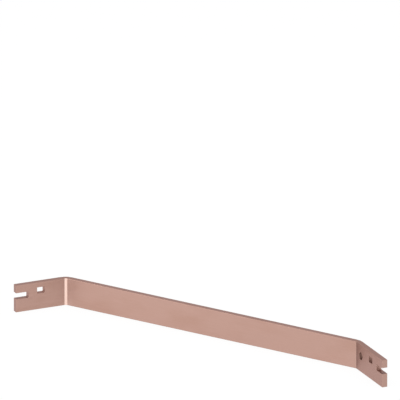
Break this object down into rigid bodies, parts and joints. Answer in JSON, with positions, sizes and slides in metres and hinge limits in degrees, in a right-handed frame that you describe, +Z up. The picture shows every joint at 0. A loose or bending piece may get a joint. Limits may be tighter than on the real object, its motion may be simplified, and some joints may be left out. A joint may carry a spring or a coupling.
{
  "type": "busbar elbow",
  "caption": "Flat copper bar standing on edge, bent the same way at both ends into an elbow; its square landings have open-ended slots and bolt holes to join conductors round a corner.",
  "frame": {"origin": "centre of the bounding box, at its bottom, on the floor that the bar's lower edge stands on", "axes": "+Z up across the bar's width; the left landing lies along X with its outer face towards +Y; the right landing lies along Y with its outer face towards +X; Y is the longest extent and Z the shortest"},
  "size_m": [0.431, 0.6272, 0.05],
  "materials": {
    "copper": "satin bare copper"
  },
  "bodies": {
    "root": {"busbar_elbow": "copper"}
  },
  "joints": []
}
